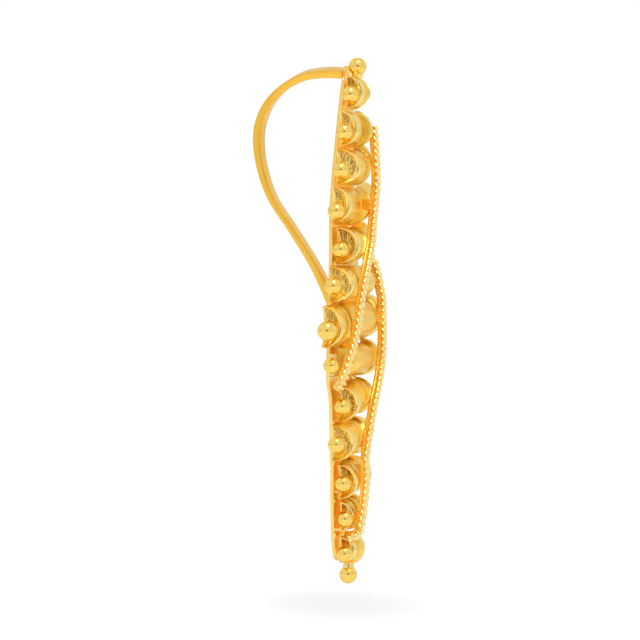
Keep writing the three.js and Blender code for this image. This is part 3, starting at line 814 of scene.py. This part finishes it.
# The block's deep orange and its strong glow are painted shade, reflection and light.
block_gold = gold("block_gold_painted_glow", (1.0, 0.42, 0.01), (1.0, 0.36, 0.006), (0.24, 0.36), {
    "Round": 5.0, "Along": 1.0, "Line depth": 0.002, "Swell": 0.004, "Pits": 0.001,
}, recess=(1.0, 0.4, 0.01, 1), light=0.6, metallic=0.3)
left = rope_parts(ROPE_LINE)
right = half_turn(rope_parts(ROPE_CURL + ROPE_LINE, curled=True))
for side, parts in (("left", left), ("right", right)):
    rope = build_piece(f"{side}_twisted_rope", parts, [wire_gold, strip_gold, block_gold])
    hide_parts(f"{side}_rope")

# ---------------------------------------------------------------------------------------------
# Scroll balls: one gold ball beside the outer end of each rope, low on the left and high on the
# right, held on a short round tab soldered to the plate's edge.

SCROLL_BALL_PLACE = (5.35, 0.78, -3.66)
SCROLL_BALL_RADIUS = 0.69
SCROLL_TAB_OUT = 4.5
SCROLL_TAB_Z = -3.6
SCROLL_TAB_RADIUS = 0.32
SCROLL_TAB_SIDES = 20
SCROLL_TAB_PROFILE = [(-0.95, 0.7), (-0.88, 1.0), (0.88, 1.0), (0.95, 0.7)]  # level, share of the radius
ROUND, HOLDER = range(2)  # the finishes of a ball and of the tab or neck that carries it


def scroll_parts():
    height = PLATE_TOP + SCROLL_TAB_RADIUS
    rings, marks = [], []
    for level, size in SCROLL_TAB_PROFILE:
        section = circle(size * SCROLL_TAB_RADIUS, SCROLL_TAB_SIDES)
        rings.append([place(SCROLL_TAB_OUT + a, height + b, SCROLL_TAB_Z + level) for a, b in section])
        marks.append(circle_marks(SCROLL_TAB_RADIUS, SCROLL_TAB_SIDES, level))
    return [(rings, marks, HOLDER), ball_part(place(*SCROLL_BALL_PLACE), SCROLL_BALL_RADIUS, ROUND)]


left = scroll_parts()
for side, parts in (("left", left), ("right", half_turn(left))):
    scroll = build_piece(f"{side}_scroll_ball_dressed", parts, [ball_gold, burnished_highlight_gold])
    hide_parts(f"{side}_scroll_ball")

# ---------------------------------------------------------------------------------------------
# Finials: a gold ball on a short neck, soldered on at the top and bottom of the leaf. The top one
# also has a small block at its back that joins it to the plate.

FINIAL_RADIUS = 0.77
FINIAL_HEIGHT = 21.7
FINIAL_STAND = 1.1
NECK_LOW = 20.62  # let into the crown it is soldered to
NECK_SIDES = 24
NECK_PROFILE = [(0.0, 0.42), (0.2, 0.46), (0.4, 0.48), (1.08, 0.5)]  # height above the neck's low end, radius
FOOT_LOW = 21.02
FOOT_WIDTH = 0.56
FOOT_HEIGHT = 0.96


def finial_parts(with_foot):
    rings, marks = [], []
    for level, radius in NECK_PROFILE:
        rings.append([place(a, FINIAL_STAND + b, NECK_LOW + level) for a, b in circle(radius, NECK_SIDES)])
        marks.append(circle_marks(radius, NECK_SIDES, level))
    ball = ball_part(place(0, FINIAL_STAND, FINIAL_HEIGHT), FINIAL_RADIUS, ROUND)
    parts = [(rings, marks, HOLDER), ball]
    if with_foot:
        parts.append(block_part(
            0, (FINIAL_STAND + PLATE_TOP) / 2, FOOT_LOW + FOOT_HEIGHT / 2,
            (FOOT_WIDTH, FINIAL_STAND - PLATE_TOP, FOOT_HEIGHT), HOLDER,
        ))
    return parts


for end, parts in (("top", finial_parts(True)), ("bottom", half_turn(finial_parts(False)))):
    finial = build_piece(f"{end}_finial_dressed", parts, [ball_gold, burnished_highlight_gold])
    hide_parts(f"{end}_finial")

# ---------------------------------------------------------------------------------------------
# Stage: a plain white floor just under the pendant with a soft shadow painted on it, a white
# tent all round that the gold mirrors, with one small dark opening for the lens, and a lamp above.

CAMERA_AZIMUTH = math.radians(-74)
CAMERA_ELEVATION = math.radians(2)
CAMERA_ROLL = math.radians(1.04)
CAMERA_DISTANCE = 0.6
CAMERA_TARGET = Vector((0, 0.823 * MM, CENTRE_Z * MM))
FIELD_WIDTH = 54.72 * MM
SENSOR_WIDTH = 36
FLOOR_REACH = 6.0
FLOOR_Z = -44.9 * MM
FLOOR_SHADES = (0.92, 0.95)
FLOOR_LIGHT = 0.97
FLOOR_CAMERA_BASE = 0.05  # the floor's base colour to the camera, which sees its emitted white and painted shadow instead
# A painted shadow: a soft darker ellipse in the floor's emitted white under the pendant, stretched along the
# view.
SHADOW_PLACE = (0.0016, 0.0, 0.0)
SHADOW_SPREAD = (1 / 0.0128, 1 / 0.032, 1.0)  # per metre, across the view and along it
SHADOW_SHADES = (0.87, 1.0)  # from the middle of the shadow to its edge
TENT_SHADES = (0.77, 0.88)
TENT_RISE = (0.96, 1.04)  # from the foot of the tent to its top
LENS_EDGE = (0.94, 0.98)  # cosines of the angle to the lens, from the tent to the opening
LENS_SHADES = (1.0, 0.15)
LAMP_PLACE = (-0.14, -0.1, 0.36)
LAMP_SIZE = 0.2
LAMP_POWER = 0.45
towards_camera = Vector((
    math.sin(CAMERA_AZIMUTH) * math.cos(CAMERA_ELEVATION),
    -math.cos(CAMERA_AZIMUTH) * math.cos(CAMERA_ELEVATION),
    math.sin(CAMERA_ELEVATION),
))

floor_mesh = bpy.data.meshes.new("floor")
floor_mesh.from_pydata(
    [(x * FLOOR_REACH, y * FLOOR_REACH, FLOOR_Z) for x, y in ((-1, -1), (1, -1), (1, 1), (-1, 1))],
    [], [(0, 1, 2, 3)],
)
floor = bpy.data.objects.new("floor", floor_mesh)
bpy.context.collection.objects.link(floor)
floor_paint = bpy.data.materials.new("floor_white")
floor_paint.use_nodes = True
paint = floor_paint.node_tree
shader = paint.nodes["Principled BSDF"]
shader.inputs["Roughness"].default_value = 0.9
shader.inputs["Specular IOR Level"].default_value = 0.1
where = make_node(paint, "ShaderNodeTexCoord").outputs["Object"]
shade = mapped(paint, noise(paint, where, 60.0, 2.0), (0.0, 1.0), FLOOR_SHADES)
turned = make_node(paint, "ShaderNodeVectorRotate", {
    "Vector": where, "Angle": -CAMERA_AZIMUTH,
}, rotation_type="Z_AXIS").outputs[0]
shifted = worked(paint, "SUBTRACT", turned, SHADOW_PLACE, "ShaderNodeVectorMath")
spread = worked(paint, "MULTIPLY", shifted, SHADOW_SPREAD, "ShaderNodeVectorMath")
flat = worked(paint, "MULTIPLY", spread, (1.0, 1.0, 0.0), "ShaderNodeVectorMath")
distance = make_node(paint, "ShaderNodeVectorMath", {0: flat}, operation="LENGTH").outputs["Value"]
# painted shadow: the floor's emitted white is darker towards the ellipse's middle
painted_shadow = mapped(paint, distance, (0.0, 1.0), SHADOW_SHADES, interpolation_type="SMOOTHERSTEP")
seen = make_node(paint, "ShaderNodeLightPath").outputs["Is Camera Ray"]
plain = make_node(paint, "ShaderNodeMix", {"Factor": seen, 2: shade, 3: FLOOR_CAMERA_BASE})
paint.links.new(plain.outputs[0], shader.inputs["Base Color"])
paint.links.new(painted_shadow, shader.inputs["Emission Color"])
paint.links.new(worked(paint, "MULTIPLY", seen, FLOOR_LIGHT), shader.inputs["Emission Strength"])
floor_mesh.materials.append(floor_paint)

world = bpy.data.worlds.new("studio")
bpy.context.scene.world = world
world.use_nodes = True
sky = world.node_tree
background = sky.nodes["Background"]
direction = make_node(sky, "ShaderNodeTexCoord").outputs["Generated"]
split = make_node(sky, "ShaderNodeSeparateXYZ", {0: direction})
patch = mapped(sky, noise(sky, direction, 2.0, 1.0), (0.4, 0.6), TENT_SHADES)
height = mapped(sky, split.outputs["Z"], (-0.3, 0.7), TENT_RISE)
tent = worked(sky, "MULTIPLY", patch, height)
aimed = make_node(sky, "ShaderNodeVectorMath", {
    0: direction, 1: tuple(towards_camera),
}, operation="DOT_PRODUCT")
opening = mapped(sky, aimed.outputs["Value"], LENS_EDGE, LENS_SHADES)
mirrored = worked(sky, "MULTIPLY", tent, opening)
path = make_node(sky, "ShaderNodeLightPath").outputs["Is Camera Ray"]
choose = make_node(sky, "ShaderNodeMix", {"Factor": path, 2: mirrored, 3: 1.0})
sky.links.new(choose.outputs[0], background.inputs["Strength"])
background.inputs["Color"].default_value = (1, 1, 1, 1)

lamp = bpy.data.lights.new("overhead_lamp", "AREA")
lamp.shape = "DISK"
lamp.size = LAMP_SIZE
lamp.energy = LAMP_POWER
holder = bpy.data.objects.new("overhead_lamp", lamp)
holder.location = LAMP_PLACE
aim = Vector((0, 0, CENTRE_Z * MM)) - holder.location
holder.rotation_euler = aim.to_track_quat("-Z", "Y").to_euler()
bpy.context.collection.objects.link(holder)

camera_data = bpy.data.cameras.new("camera")
camera_data.sensor_width = SENSOR_WIDTH
camera_data.lens = SENSOR_WIDTH * CAMERA_DISTANCE / FIELD_WIDTH
camera_data.clip_start = 0.01
camera = bpy.data.objects.new("camera", camera_data)
camera.location = CAMERA_TARGET + towards_camera * CAMERA_DISTANCE
facing = (-towards_camera).to_track_quat("-Z", "Y").to_matrix()
camera.rotation_euler = (facing @ Matrix.Rotation(CAMERA_ROLL, 3, "Z")).to_euler()
bpy.context.collection.objects.link(camera)
bpy.context.scene.camera = camera
bpy.context.scene.view_settings.view_transform = "Standard"
